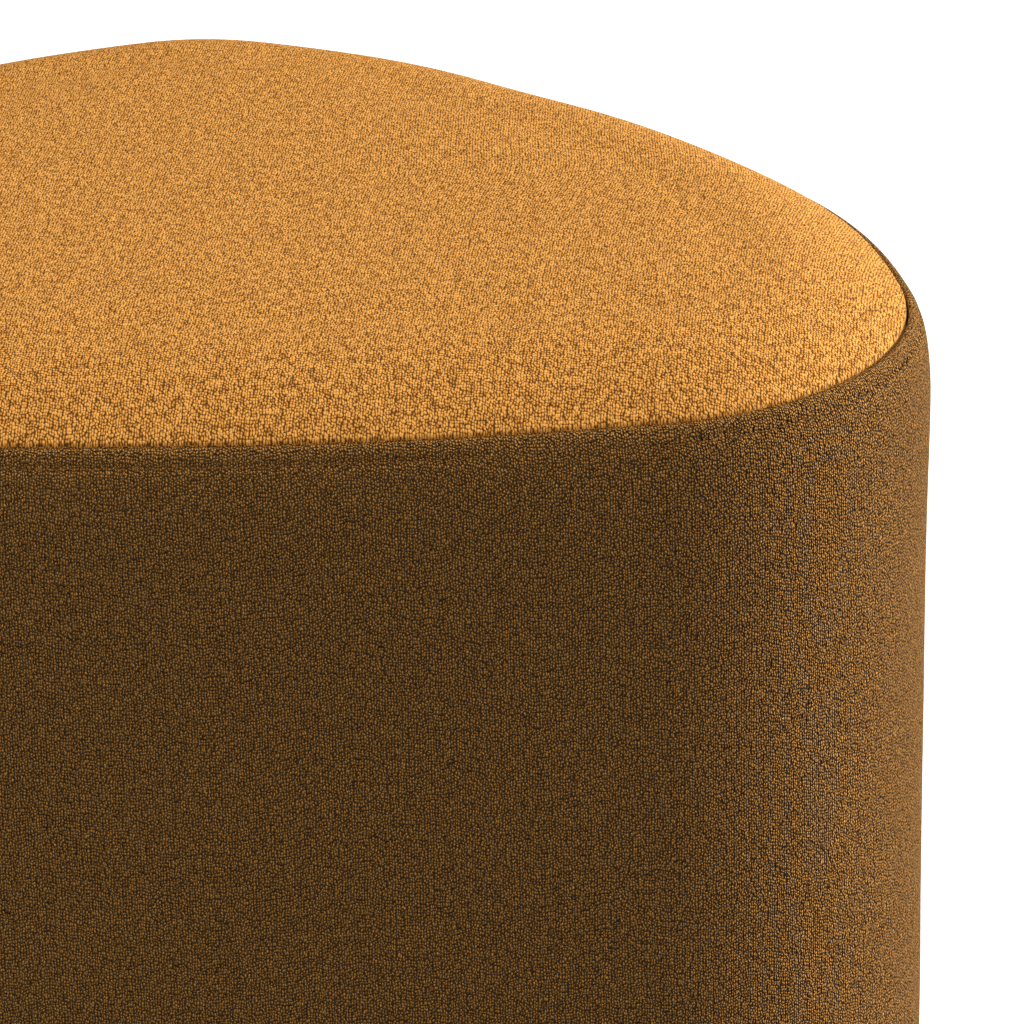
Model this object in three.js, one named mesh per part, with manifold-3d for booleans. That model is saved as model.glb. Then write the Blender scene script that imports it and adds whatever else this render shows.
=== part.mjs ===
// Storage ottoman with a rounded-triangle plan and a lift-off padded lid.
// Millimetres, +Z up, standing on the floor at Z = 0, front side towards -Y.
import * as THREE from 'three';
import { mergeVertices } from 'three/addons/utils/BufferGeometryUtils.js';
import Module from 'manifold-3d';

const wasm = await Module();
wasm.setup();

// ---- Overall size ----
const width = 580;
const depth = 450;
const seatHeight = 420;

// ---- Plan outline: six tangent arcs, at the widest line of the side cover ----
const cornerRadius = 122; // the two front corners
const backRadius = 112; // the single back corner
const frontBow = 1000; // the almost straight front side
const flankBow = 385; // the two sides that run to the back corner
const frontSteps = 6; // straight facets along each arc
const cornerSteps = 8;
const flankSteps = 8;
const backSteps = 6;
const footSides = 16;
const screwSides = 8;

// ---- Shoulder, lip and lid crown ----
const crownRise = 20; // top of the seat above the parting line
const crownRun = 60; // how far in from the lid's edge the crown levels out
const shoulderRise = 30; // from the widest line up to the parting line
const shoulderDepth = 8; // how far the parting line lies inside the widest line
const shoulderSwell = 3; // how far the shoulder stands out over the wall below
const swellFade = 150; // height over which the swell dies away
const lipHeight = 22; // the soft lip that stands round the lid
const partingGap = 1.4; // the open line between lip and lid

// ---- Sheet and board thicknesses ----
const coverThickness = 1.6;
const foamThickness = 8;
const panelThickness = 3;
const baseThickness = 15;
const ringThickness = 18;
const liningThickness = 3;
const dustThickness = 1;
const lidBoardThickness = 9;
const keyBoardThickness = 9;
const waddingThickness = 3;
const underliningThickness = 1;

// ---- Widths ----
const rimWidth = 33; // rim ring, from its outer edge to the storage opening
const uprightWidth = 45;
const bottomTurn = 28; // side cover turned under the base board
const rimTurn = 36; // side cover turned in over the rim ring
const lidTurn = 30; // lid cover turned under the lid board
const tabWidth = 26;
const tabThickness = 0.6;

// ---- Feet and screws ----
const footHeight = 15;
const footRadius = 22;
const footInset = 62; // foot centre from the widest line
const footRecess = 5; // depth of the screw recess in the sole
const screwRadius = 2;
const screwHeadRadius = 4;
const screwHeadHeight = 2.4;
const frameScrewLength = 45;
const footScrewLength = 22;
const keyScrewLength = 16;
const keyScrewInset = 80; // screws of the key board from the widest line

// ---- Clearances ----
const skinGap = 0.3; // between pieces that touch
const boardGap = 1; // between the uprights and the bent panel round them
const restGap = 0.5; // under the closed lid
const keyClearance = 2; // key board to storage opening, all round

// ---- Heights that follow ----
const partingHeight = seatHeight - crownRise;
const ringTop = partingHeight - lipHeight;
const ringBottom = ringTop - ringThickness;
const dustBottom = footHeight + skinGap;
const coverBottom = dustBottom + dustThickness + skinGap;
const baseBottom = coverBottom + coverThickness + skinGap;
const baseTop = baseBottom + baseThickness;
const rimCoverTop = ringTop + skinGap + coverThickness;
const lidBottom = rimCoverTop + restGap;
const lidBoardBottom = lidBottom + coverThickness + skinGap;
const lidBoardTop = lidBoardBottom + lidBoardThickness;
const underliningBottom = lidBoardBottom - skinGap - underliningThickness;
const keyBoardTop = underliningBottom - skinGap;
const keyBoardBottom = keyBoardTop - keyBoardThickness;

// ---- Insets from the widest line that follow ----
const foamOuter = coverThickness + skinGap;
const panelInset = shoulderSwell + coverThickness + skinGap + foamThickness + skinGap;
const frameInset = panelInset + panelThickness + skinGap;
const openingInset = frameInset + rimWidth;
const lidInset = shoulderDepth + partingGap;
const lidBoardInset = lidInset + coverThickness + skinGap + waddingThickness + skinGap;
const keyInset = openingInset + keyClearance;

// ---- Finishes ----
const finish = (color, roughness, metalness = 0) => new THREE.MeshStandardMaterial({ color, roughness, metalness });
const ochreFabric = finish(0xb07a35, 0.95);
const plywood = finish(0xc9a877, 0.7);
const foam = finish(0xe6dfc6, 0.9);
const wadding = finish(0xf0eeea, 0.95);
const liningCloth = finish(0x3a332b, 0.9);
const dustCloth = finish(0x191919, 0.9);
const blackPlastic = finish(0x151515, 0.5);
const zincSteel = finish(0xb9b9b2, 0.35, 1);

const ottoman = new THREE.Group();

function addPiece(name, geometry, material, parent = ottoman) {
  const mesh = new THREE.Mesh(geometry, material);
  mesh.name = name;
  parent.add(mesh);
  return mesh;
}

// ---- The outline ----

function arcBetween(centre, radius, from, to, steps) {
  return { centre, radius, from, to, steps };
}

// The arcs touch their neighbours, so every inset of the outline is a smooth loop too.
function makeArcs() {
  const corner = new THREE.Vector2(width / 2 - cornerRadius, 0);
  const front = new THREE.Vector2(0, frontBow - depth / 2);
  corner.y = front.y - Math.sqrt((frontBow - cornerRadius) ** 2 - corner.x ** 2);
  const back = new THREE.Vector2(0, depth / 2 - backRadius);
  const flank = flankCentre(corner, back);
  const frontEnd = corner.clone().sub(front).angle() - 2 * Math.PI;
  const flankStart = corner.clone().sub(flank).angle();
  const flankEnd = back.clone().sub(flank).angle();
  const cornerStart = flankStart > Math.PI ? flankStart - 2 * Math.PI : flankStart;
  const mirror = (point) => new THREE.Vector2(-point.x, point.y);
  return {
    front: arcBetween(front, frontBow, -Math.PI - frontEnd, frontEnd, frontSteps),
    cornerRight: arcBetween(corner, cornerRadius, frontEnd, cornerStart, cornerSteps),
    flankRight: arcBetween(flank, flankBow, cornerStart, flankEnd, flankSteps),
    back: arcBetween(back, backRadius, flankEnd, Math.PI - flankEnd, backSteps),
    flankLeft: arcBetween(mirror(flank), flankBow, Math.PI - flankEnd, Math.PI - cornerStart, flankSteps),
    cornerLeft: arcBetween(mirror(corner), cornerRadius, Math.PI - cornerStart, Math.PI - frontEnd, cornerSteps),
  };
}

// Centre of the flank arc, which holds both corner circles inside it.
function flankCentre(corner, back) {
  const toCorner = flankBow - cornerRadius;
  const toBack = flankBow - backRadius;
  const line = back.clone().sub(corner);
  const length = line.length();
  const along = (toCorner ** 2 - toBack ** 2 + length ** 2) / (2 * length);
  const across = Math.sqrt(toCorner ** 2 - along ** 2);
  line.normalize();
  const inward = new THREE.Vector2(-line.y, line.x);
  return corner.clone().addScaledVector(line, along).addScaledVector(inward, across);
}

const arcs = makeArcs();

function pointOn(arc, angle, inset) {
  const reach = arc.radius - inset;
  return new THREE.Vector2(arc.centre.x + reach * Math.cos(angle), arc.centre.y + reach * Math.sin(angle));
}

function outline(inset) {
  const points = [];
  for (const arc of Object.values(arcs)) {
    for (let step = 0; step < arc.steps; step++) {
      points.push(pointOn(arc, THREE.MathUtils.lerp(arc.from, arc.to, step / arc.steps), inset));
    }
  }
  return points;
}

function middleOf(arc) {
  return (arc.from + arc.to) / 2;
}

// ---- Shapes ----

// A board with straight edges, and an opening where innerInset is given.
function board(inset, bottom, top, innerInset) {
  const shape = new THREE.Shape(outline(inset));
  if (innerInset) shape.holes.push(new THREE.Path(outline(innerInset).reverse()));
  const geometry = new THREE.ExtrudeGeometry(shape, { depth: top - bottom, bevelEnabled: false });
  return geometry.translate(0, 0, bottom);
}

function solidFrom(vertices, triangles) {
  const geometry = new THREE.BufferGeometry();
  geometry.setAttribute('position', new THREE.Float32BufferAttribute(vertices, 3));
  geometry.setIndex(triangles);
  return geometry;
}

// Walks a section of [inset, height] points round the outline. A closed section gives a ring,
// and an open one is capped flat over its first and last loops.
function walkSection(section, closed) {
  const loops = section.map(([inset, height]) => outline(inset).map((point) => [point.x, point.y, height]));
  const count = loops[0].length;
  const vertices = loops.flat(2);
  const triangles = [];
  const pairs = closed ? loops.length : loops.length - 1;
  for (let loop = 0; loop < pairs; loop++) {
    const here = loop * count;
    const next = ((loop + 1) % loops.length) * count;
    for (let step = 0; step < count; step++) {
      const after = (step + 1) % count;
      triangles.push(here + step, here + after, next + after, here + step, next + after, next + step);
    }
  }
  if (!closed) {
    const last = (loops.length - 1) * count;
    for (let step = 1; step < count - 1; step++) {
      triangles.push(0, step + 1, step, last, last + step, last + step + 1);
    }
  }
  return solidFrom(vertices, triangles);
}

// ---- Boolean cuts ----

function toSolid(geometry) {
  const plain = geometry.clone();
  plain.deleteAttribute('normal');
  plain.deleteAttribute('uv');
  const merged = mergeVertices(plain, 1e-4);
  const vertProperties = new Float32Array(merged.attributes.position.array);
  const triVerts = new Uint32Array(merged.index.array);
  return new wasm.Manifold(new wasm.Mesh({ numProp: 3, vertProperties, triVerts }));
}

function cut(geometry, tools) {
  let solid = toSolid(geometry);
  for (const tool of tools) solid = solid.subtract(toSolid(tool));
  const mesh = solid.getMesh();
  return solidFrom(mesh.vertProperties, Array.from(mesh.triVerts));
}

function turned(profile, segments) {
  const points = profile.map(([radius, height]) => new THREE.Vector2(radius, height));
  return new THREE.LatheGeometry(points, segments).rotateX(Math.PI / 2);
}

// A countersunk screw with its head's flat face at Z = 0 and its tip up.
function screwShape(length, gap = 0) {
  const shank = screwRadius + gap;
  const head = screwHeadRadius + gap;
  return turned([
    [0, -gap],
    [head, -gap],
    [head, 0.6],
    [shank, screwHeadHeight + gap],
    [shank, length - 3 + gap],
    [0, length + gap],
  ], screwSides);
}

function placeScrew(geometry, spot, height, downwards = false) {
  if (downwards) geometry.rotateX(Math.PI);
  return geometry.translate(spot.x, spot.y, height);
}

// ---- Sections of the soft layers ----

// Outer line of the side wall from its foot to the parting line, depthIn under the cloth's face.
function wallLine(depthIn, bottom) {
  const widest = partingHeight - shoulderRise;
  const line = [[shoulderSwell + depthIn, bottom]];
  for (const share of [0, 0.4, 0.7]) {
    const swell = shoulderSwell * (1 - Math.sin((share * Math.PI) / 2) ** 1.5);
    line.push([swell + depthIn, widest - swellFade * (1 - share)]);
  }
  for (const degrees of [0, 25, 50, 70, 90]) {
    const angle = THREE.MathUtils.degToRad(degrees);
    const reach = shoulderDepth - depthIn;
    line.push([depthIn + reach * (1 - Math.cos(angle)), widest + (shoulderRise - depthIn) * Math.sin(angle)]);
  }
  return line;
}

// Line of the lid's crown from its edge to the level middle, depthIn under the cloth's face.
function crownLine(depthIn) {
  return [0, 0.1, 0.25, 0.45, 0.7, 1].map((share) => [
    lidInset + depthIn + (crownRun - depthIn) * share,
    partingHeight - depthIn + crownRise * (1 - (1 - share) ** 2),
  ]);
}

// ---- Frame ----

const uprightArcs = Object.entries(arcs);
const uprightDepth = rimWidth - boardGap - liningThickness - skinGap;

// A flat upright inside a round wall stands back until both its edges clear the panel.
function uprightPlace(arc) {
  const wall = arc.radius - frameInset - boardGap;
  const setBack = wall - Math.sqrt(wall ** 2 - (uprightWidth / 2) ** 2);
  const angle = middleOf(arc);
  const depthLeft = uprightDepth - setBack;
  const inset = frameInset + boardGap + setBack + depthLeft / 2;
  return { angle, depthLeft, spot: pointOn(arc, angle, inset) };
}

function makeUpright(arc) {
  const { angle, depthLeft, spot } = uprightPlace(arc);
  const bottom = baseTop + skinGap;
  const height = ringBottom - skinGap - bottom;
  const post = new THREE.BoxGeometry(depthLeft, uprightWidth, height).rotateZ(angle);
  post.translate(spot.x, spot.y, bottom + height / 2);
  return cut(post, [
    placeScrew(screwShape(frameScrewLength, skinGap), spot, baseBottom),
    placeScrew(screwShape(frameScrewLength, skinGap), spot, ringTop, true),
  ]);
}

function makeFrame() {
  const spots = uprightArcs.map(([, arc]) => uprightPlace(arc).spot);
  const fromBelow = spots.map((spot) => placeScrew(screwShape(frameScrewLength, skinGap), spot, baseBottom));
  const fromAbove = spots.map((spot) => placeScrew(screwShape(frameScrewLength, skinGap), spot, ringTop, true));
  const footHoles = footSpots.map(([, spot]) => placeScrew(screwShape(footScrewLength, skinGap), spot, footRecess));
  addPiece('base_board', cut(board(frameInset, baseBottom, baseTop), [...fromBelow, ...footHoles]), plywood);
  addPiece('rim_ring', cut(board(frameInset, ringBottom, ringTop, openingInset), fromAbove), plywood);
  for (const [name, arc] of uprightArcs) {
    const spot = uprightPlace(arc).spot;
    addPiece(`upright_${name}`, makeUpright(arc), plywood);
    addPiece(`screw_low_${name}`, placeScrew(screwShape(frameScrewLength), spot, baseBottom), zincSteel);
    addPiece(`screw_high_${name}`, placeScrew(screwShape(frameScrewLength), spot, ringTop, true), zincSteel);
  }
  addPiece('wall_panel', board(panelInset, baseBottom, ringTop, panelInset + panelThickness), plywood);
}

// ---- Storage lining ----

function makeLining() {
  const outer = openingInset - liningThickness;
  addPiece('lining_wall', board(outer, baseTop + skinGap, ringBottom - skinGap, openingInset), liningCloth);
  const floorInset = openingInset + skinGap * 2;
  const floorBottom = baseTop + skinGap;
  addPiece('lining_floor', board(floorInset, floorBottom, floorBottom + liningThickness), liningCloth);
}

// ---- Side padding and cover ----

function makeSideFoam() {
  const outer = wallLine(foamOuter, baseBottom).slice(0, -1);
  const lipInner = shoulderDepth - foamOuter;
  const lipTop = partingHeight - foamOuter - 4 * skinGap;
  const inner = panelInset - skinGap;
  const section = [...outer, [lipInner, lipTop], [lipInner, ringTop], [inner, ringTop], [inner, baseBottom]];
  addPiece('side_foam', walkSection(section, true), foam);
}

function makeSideCover() {
  const outer = wallLine(0, coverBottom);
  const inner = wallLine(coverThickness, coverBottom + coverThickness).slice(0, -1);
  const lipInner = shoulderDepth - coverThickness;
  const turnEnd = shoulderDepth + rimTurn;
  const section = [
    [shoulderSwell + bottomTurn, coverBottom],
    ...outer,
    [shoulderDepth, rimCoverTop],
    [turnEnd, rimCoverTop],
    [turnEnd, ringTop + skinGap],
    [lipInner, ringTop + skinGap],
    [lipInner, partingHeight - foamOuter - skinGap],
    ...inner.reverse(),
    [shoulderSwell + bottomTurn, coverBottom + coverThickness],
  ];
  addPiece('side_cover', walkSection(section, true), ochreFabric);
}

// ---- Underside ----

const footArcs = Object.entries(arcs).filter(([name]) => name !== 'front');
const footSpots = footArcs.map(([name, arc]) => [name, pointOn(arc, middleOf(arc), footInset)]);

function footShape() {
  const bore = screwRadius + skinGap;
  const recess = screwHeadRadius + 1.5;
  return turned([
    [bore, footHeight],
    [bore, footRecess + screwHeadHeight + skinGap],
    [screwHeadRadius + skinGap, footRecess + 0.6],
    [screwHeadRadius + skinGap, footRecess],
    [recess, footRecess],
    [recess, 0],
    [footRadius - 4, 0],
    [footRadius - 2.4, 1.4],
    [footRadius, footHeight],
    [bore, footHeight],
  ], footSides);
}

function makeUnderside() {
  const holes = footSpots.map(([, spot]) => {
    const hole = new THREE.CylinderGeometry(screwRadius + 1, screwRadius + 1, 4, 8).rotateX(Math.PI / 2);
    return hole.translate(spot.x, spot.y, dustBottom);
  });
  const dustInset = shoulderSwell + bottomTurn - 12;
  addPiece('dust_cover', cut(board(dustInset, dustBottom, dustBottom + dustThickness), holes), dustCloth);
  for (const [name, spot] of footSpots) {
    addPiece(`foot_${name}`, footShape().translate(spot.x, spot.y, 0), blackPlastic);
    addPiece(`foot_screw_${name}`, placeScrew(screwShape(footScrewLength), spot, footRecess), zincSteel);
  }
}

// ---- Lid ----

const keyScrewSpots = footArcs.map(([name, arc]) => [name, pointOn(arc, middleOf(arc), keyScrewInset)]);

function makeLidBoards(lid) {
  const holes = keyScrewSpots.map(([, spot]) => placeScrew(screwShape(keyScrewLength, skinGap), spot, keyBoardBottom));
  addPiece('lid_board', cut(board(lidBoardInset, lidBoardBottom, lidBoardTop), holes), plywood, lid);
  const underlining = board(lidInset + lidTurn + skinGap, underliningBottom, lidBoardBottom - skinGap);
  addPiece('lid_lining', cut(underlining, holes), dustCloth, lid);
  addPiece('key_board', cut(board(keyInset, keyBoardBottom, keyBoardTop), holes), plywood, lid);
  for (const [name, spot] of keyScrewSpots) {
    addPiece(`key_screw_${name}`, placeScrew(screwShape(keyScrewLength), spot, keyBoardBottom), zincSteel, lid);
  }
}

function makeLidPadding(lid) {
  const waddingOuter = coverThickness + skinGap;
  const waddingInner = waddingOuter + waddingThickness;
  const foamDepth = waddingInner + skinGap;
  const foamSection = [[lidInset + foamDepth, lidBoardTop + skinGap], ...crownLine(foamDepth)];
  addPiece('lid_foam', walkSection(foamSection, false), foam, lid);
  const waddingSection = [
    ...crownLine(waddingInner).reverse(),
    [lidInset + waddingInner, lidBoardBottom],
    [lidInset + waddingOuter, lidBoardBottom],
    ...crownLine(waddingOuter),
  ];
  addPiece('lid_wadding', walkSection(waddingSection, false), wadding, lid);
}

function makeLidCover(lid) {
  const turnEnd = lidInset + lidTurn;
  const section = [
    ...crownLine(coverThickness).reverse(),
    [lidInset + coverThickness, lidBottom + coverThickness],
    [turnEnd, lidBottom + coverThickness],
    [turnEnd, lidBottom],
    [lidInset, lidBottom],
    ...crownLine(0),
  ];
  addPiece('lid_cover', walkSection(section, false), ochreFabric, lid);
}

// A ribbon sewn to the lid's back edge: it comes up the parting line and lies over the shoulder.
function makePullTab(lid) {
  const middle = shoulderDepth + partingGap / 2;
  const half = tabThickness / 2;
  const lift = half + skinGap;
  const inner = [[middle + half, lidBottom + 3]];
  const outer = [[middle - half, lidBottom + 3]];
  for (const degrees of [90, 75, 60, 45, 30]) {
    const angle = THREE.MathUtils.degToRad(degrees);
    const normal = new THREE.Vector2(Math.cos(angle) / shoulderDepth, Math.sin(angle) / shoulderRise).normalize();
    const inset = shoulderDepth * (1 - Math.cos(angle));
    const height = partingHeight - shoulderRise * (1 - Math.sin(angle));
    outer.push([inset - normal.x * (lift - half), height + normal.y * (lift - half)]);
    inner.push([inset - normal.x * (lift + half), height + normal.y * (lift + half)]);
  }
  outer[1] = [middle - half, partingHeight + lift - half];
  inner[1] = [middle + half, partingHeight + lift + half];
  const section = [...inner, ...outer.reverse()];
  const spread = tabWidth / 2 / backRadius;
  addPiece('pull_tab', bandPiece(section, arcs.back, middleOf(arcs.back), spread, 4), ochreFabric, lid);
}

// A short stretch of a section along one arc, closed flat at both ends.
function bandPiece(section, arc, middle, spread, steps) {
  const count = section.length;
  const vertices = [];
  const triangles = [];
  for (let station = 0; station <= steps; station++) {
    const angle = middle + spread * ((2 * station) / steps - 1);
    for (const [inset, height] of section) {
      const point = pointOn(arc, angle, inset);
      vertices.push(point.x, point.y, height);
    }
  }
  for (let station = 0; station < steps; station++) {
    for (let corner = 0; corner < count; corner++) {
      const here = station * count + corner;
      const beside = station * count + ((corner + 1) % count);
      triangles.push(here, beside, beside + count, here, beside + count, here + count);
    }
  }
  const flat = section.map(([inset, height]) => new THREE.Vector2(inset, height));
  for (const [a, b, c] of THREE.ShapeUtils.triangulateShape(flat, [])) {
    triangles.push(a, c, b, a + steps * count, b + steps * count, c + steps * count);
  }
  return solidFrom(vertices, triangles);
}

function makeLid() {
  const lid = new THREE.Group();
  ottoman.add(lid);
  makeLidBoards(lid);
  makeLidPadding(lid);
  makeLidCover(lid);
  makePullTab(lid);
}

makeFrame();
makeLining();
makeSideFoam();
makeSideCover();
makeUnderside();
makeLid();

export default ottoman;
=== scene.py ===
# Storage ottoman with a rounded-triangle plan, in looped ochre cloth, built round its frame.
import math

import bmesh
import bpy
from mathutils import Matrix, Vector, noise


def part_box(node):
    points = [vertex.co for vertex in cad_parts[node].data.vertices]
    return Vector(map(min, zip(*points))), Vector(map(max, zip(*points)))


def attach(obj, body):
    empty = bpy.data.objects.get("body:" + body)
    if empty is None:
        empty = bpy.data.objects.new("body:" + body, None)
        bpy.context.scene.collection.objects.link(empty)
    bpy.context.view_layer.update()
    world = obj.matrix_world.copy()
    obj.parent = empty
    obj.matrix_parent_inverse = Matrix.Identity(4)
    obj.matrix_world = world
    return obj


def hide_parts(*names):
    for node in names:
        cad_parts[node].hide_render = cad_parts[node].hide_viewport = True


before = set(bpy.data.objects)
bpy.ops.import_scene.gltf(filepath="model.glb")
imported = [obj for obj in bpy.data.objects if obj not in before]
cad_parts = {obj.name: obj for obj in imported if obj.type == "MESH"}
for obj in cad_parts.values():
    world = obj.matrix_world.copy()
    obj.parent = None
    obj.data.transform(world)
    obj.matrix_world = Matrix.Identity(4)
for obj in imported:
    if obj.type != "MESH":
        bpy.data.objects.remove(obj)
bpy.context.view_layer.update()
print("frame loaded")

# ---- Measures that the frame gives ----
sideLow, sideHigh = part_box("side_cover")
lidLow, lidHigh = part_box("lid_cover")
plan = {
    "width": sideHigh.x - sideLow.x,
    "depth": sideHigh.y - sideLow.y,
    "cornerRadius": 0.122,
    "backRadius": 0.112,
    "frontBow": 1.0,
    "flankBow": 0.385,
}
partingHeight = sideHigh.z
seatHeight = lidHigh.z
lidInset = (plan["depth"] - (lidHigh.y - lidLow.y)) / 2
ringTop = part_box("rim_ring")[1].z
flangeTop = ringTop + 0.0019  # the side cover's face where it lies over the rim ring
clothThickness = 0.0016
skinGap = 0.0003


# ---- Outline: tangent arcs, walked from the middle of the back, anticlockwise ----
def makeArcs():
    corner = Vector((plan["width"] / 2 - plan["cornerRadius"], 0, 0))
    front = Vector((0, plan["frontBow"] - plan["depth"] / 2, 0))
    corner.y = front.y - math.sqrt((plan["frontBow"] - plan["cornerRadius"]) ** 2 - corner.x**2)
    back = Vector((0, plan["depth"] / 2 - plan["backRadius"], 0))
    toCorner = plan["flankBow"] - plan["cornerRadius"]
    toBack = plan["flankBow"] - plan["backRadius"]
    line = back - corner
    alongLine = (toCorner**2 - toBack**2 + line.length**2) / (2 * line.length)
    line.normalize()
    sideways = Vector((-line.y, line.x, 0)) * math.sqrt(toCorner**2 - alongLine**2)
    flank = corner + line * alongLine + sideways
    frontEnd = angleOf(corner - front)
    cornerEnd = angleOf(corner - flank)
    flankEnd = angleOf(back - flank)
    mirrored = Matrix.Scale(-1, 3, (1, 0, 0))
    half, turn = math.pi / 2, 2 * math.pi
    walk = [
        (back, plan["backRadius"], half, math.pi - flankEnd),
        (mirrored @ flank, plan["flankBow"], math.pi - flankEnd, math.pi - cornerEnd),
        (mirrored @ corner, plan["cornerRadius"], math.pi - cornerEnd, math.pi - frontEnd),
        (front, plan["frontBow"], math.pi - frontEnd, turn + frontEnd),
        (corner, plan["cornerRadius"], turn + frontEnd, turn + cornerEnd),
        (flank, plan["flankBow"], turn + cornerEnd, turn + flankEnd),
        (back, plan["backRadius"], turn + flankEnd, turn + half),
    ]
    arcs, travelled = [], 0.0
    for centre, radius, start, end in walk:
        arc = {"centre": centre, "radius": radius, "start": start, "end": end}
        arcs.append({**arc, "before": travelled})
        travelled += radius * (end - start)
    return arcs, travelled


def angleOf(direction):
    return math.atan2(direction.y, direction.x)


arcs, outlineLength = makeArcs()


def spotOn(arc, angle, inset, height):
    reach = arc["radius"] - inset
    return arc["centre"] + Vector((reach * math.cos(angle), reach * math.sin(angle), height))


def spotAlong(distance, inset, height):  # a point along the outline, and the way out from it
    distance %= outlineLength
    arc = [one for one in arcs if one["before"] <= distance][-1]
    angle = arc["start"] + (distance - arc["before"]) / arc["radius"]
    return spotOn(arc, angle, inset, height), angle


# Carries a section of (inset, height) points round the outline, in short spins about each arc's centre.
def walkSection(section, stepLength, closed=False, runSteps=16):
    bm = bmesh.new()
    for arc in arcs:
        sweep = arc["end"] - arc["start"]
        steps = 2 * max(1, round(arc["radius"] * sweep / stepLength / 2))
        for first in range(0, steps, runSteps):
            count = min(runSteps, steps - first)
            start = arc["start"] + sweep * first / steps
            run = spinRun(arc, section, closed, start, sweep * count / steps, count)
            copyInto(bm, run)
            run.free()
    bmesh.ops.remove_doubles(bm, verts=bm.verts, dist=2e-5)
    bmesh.ops.recalc_face_normals(bm, faces=bm.faces)
    return bm


def spinRun(arc, section, closed, start, sweep, steps):
    bm = bmesh.new()
    upLayer = bm.verts.layers.float.new("up")
    alongLayer = bm.verts.layers.float.new("along")
    travelled, verts = 0.0, []
    for place, (inset, height) in enumerate(section):
        if place:
            travelled += math.dist(section[place], section[place - 1])
        vert = bm.verts.new(spotOn(arc, start, inset, height))
        vert[upLayer] = travelled
        verts.append(vert)
    edges = [bm.edges.new(pair) for pair in zip(verts, verts[1:])]
    if closed:
        edges.append(bm.edges.new((verts[-1], verts[0])))
    bmesh.ops.spin(bm, geom=verts + edges, cent=arc["centre"], axis=(0, 0, 1), angle=sweep, steps=steps)
    for vert in bm.verts:
        turned = (angleOf(vert.co - arc["centre"]) - arc["start"] + 1e-4) % (2 * math.pi)
        vert[alongLayer] = arc["before"] + arc["radius"] * turned
    clothMap = bm.loops.layers.uv.new("cloth")
    for face in bm.faces:
        for loop in face.loops:
            loop[clothMap].uv = (loop.vert[alongLayer], loop.vert[upLayer])
    return bm


def closeLoops(bm):  # a flat face over each open edge loop
    rims = [edge for edge in bm.edges if edge.is_boundary]
    bmesh.ops.holes_fill(bm, edges=rims, sides=0)
    bmesh.ops.recalc_face_normals(bm, faces=bm.faces)


def mapFlat(bm):  # level faces take their cloth map from above
    clothMap = bm.loops.layers.uv.verify()
    for face in bm.faces:
        if abs(face.normal.z) > 0.35:
            for loop in face.loops:
                loop[clothMap].uv = loop.vert.co.xy


def finishPiece(name, bm, body, material, replaced=(), smooth=True):
    mesh = bpy.data.meshes.new(name)
    bm.to_mesh(mesh)
    bm.free()
    mesh.polygons.foreach_set("use_smooth", [smooth] * len(mesh.polygons))
    return finishObject(name, mesh, body, material, replaced)


def finishObject(name, mesh, body, material, replaced=()):
    piece = bpy.data.objects.new(name, mesh)
    bpy.context.scene.collection.objects.link(piece)
    mesh.materials.clear()
    mesh.materials.append(material)
    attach(piece, body)
    if replaced:
        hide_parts(*replaced)
    return piece


def copyInto(target, source):  # adds a small mesh to a bigger one
    mesh = bpy.data.meshes.new("part")
    source.to_mesh(mesh)
    target.from_mesh(mesh)
    bpy.data.meshes.remove(mesh)


# ---- Shader helpers ----
def newMaterial(name, roughness=0.8, specular=0.3):
    material = bpy.data.materials.new(name)
    material.use_nodes = True
    surface = material.node_tree.nodes["Principled BSDF"]
    surface.inputs["Roughness"].default_value = roughness
    surface.inputs["Specular IOR Level"].default_value = specular
    return material, material.node_tree, surface


def addNode(tree, kind, inputs=None, **settings):
    node = tree.nodes.new(kind)
    for key, value in settings.items():
        setattr(node, key, value)
    for key, value in (inputs or {}).items():
        if isinstance(value, bpy.types.NodeSocket):
            tree.links.new(value, node.inputs[key])
        else:
            node.inputs[key].default_value = value
    return node


def calc(tree, operation, *values):
    return addNode(tree, "ShaderNodeMath", dict(enumerate(values)), operation=operation).outputs[0]


def colorRamp(tree, source, stops):
    node = addNode(tree, "ShaderNodeValToRGB", {0: source})
    ramp = node.color_ramp
    while len(ramp.elements) < len(stops):
        ramp.elements.new(0.5)
    for element, (place, color) in zip(ramp.elements, stops):
        element.position = place
        element.color = (*color, 1)
    return node.outputs[0]


def addNoise(tree, place, scale, detail=2, roughness=0.5):
    settings = {"Vector": place, "Scale": scale, "Detail": detail, "Roughness": roughness}
    return addNode(tree, "ShaderNodeTexNoise", settings)


def addBump(tree, surface, height, distance):
    settings = {"Height": height, "Distance": distance, "Strength": 1.0}
    bump = addNode(tree, "ShaderNodeBump", settings)
    tree.links.new(bump.outputs[0], surface.inputs["Normal"])


def objectPlace(tree, scale=(1, 1, 1)):
    place = addNode(tree, "ShaderNodeTexCoord").outputs["Object"]
    return addNode(tree, "ShaderNodeMapping", {"Vector": place, "Scale": scale}).outputs[0]


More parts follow.
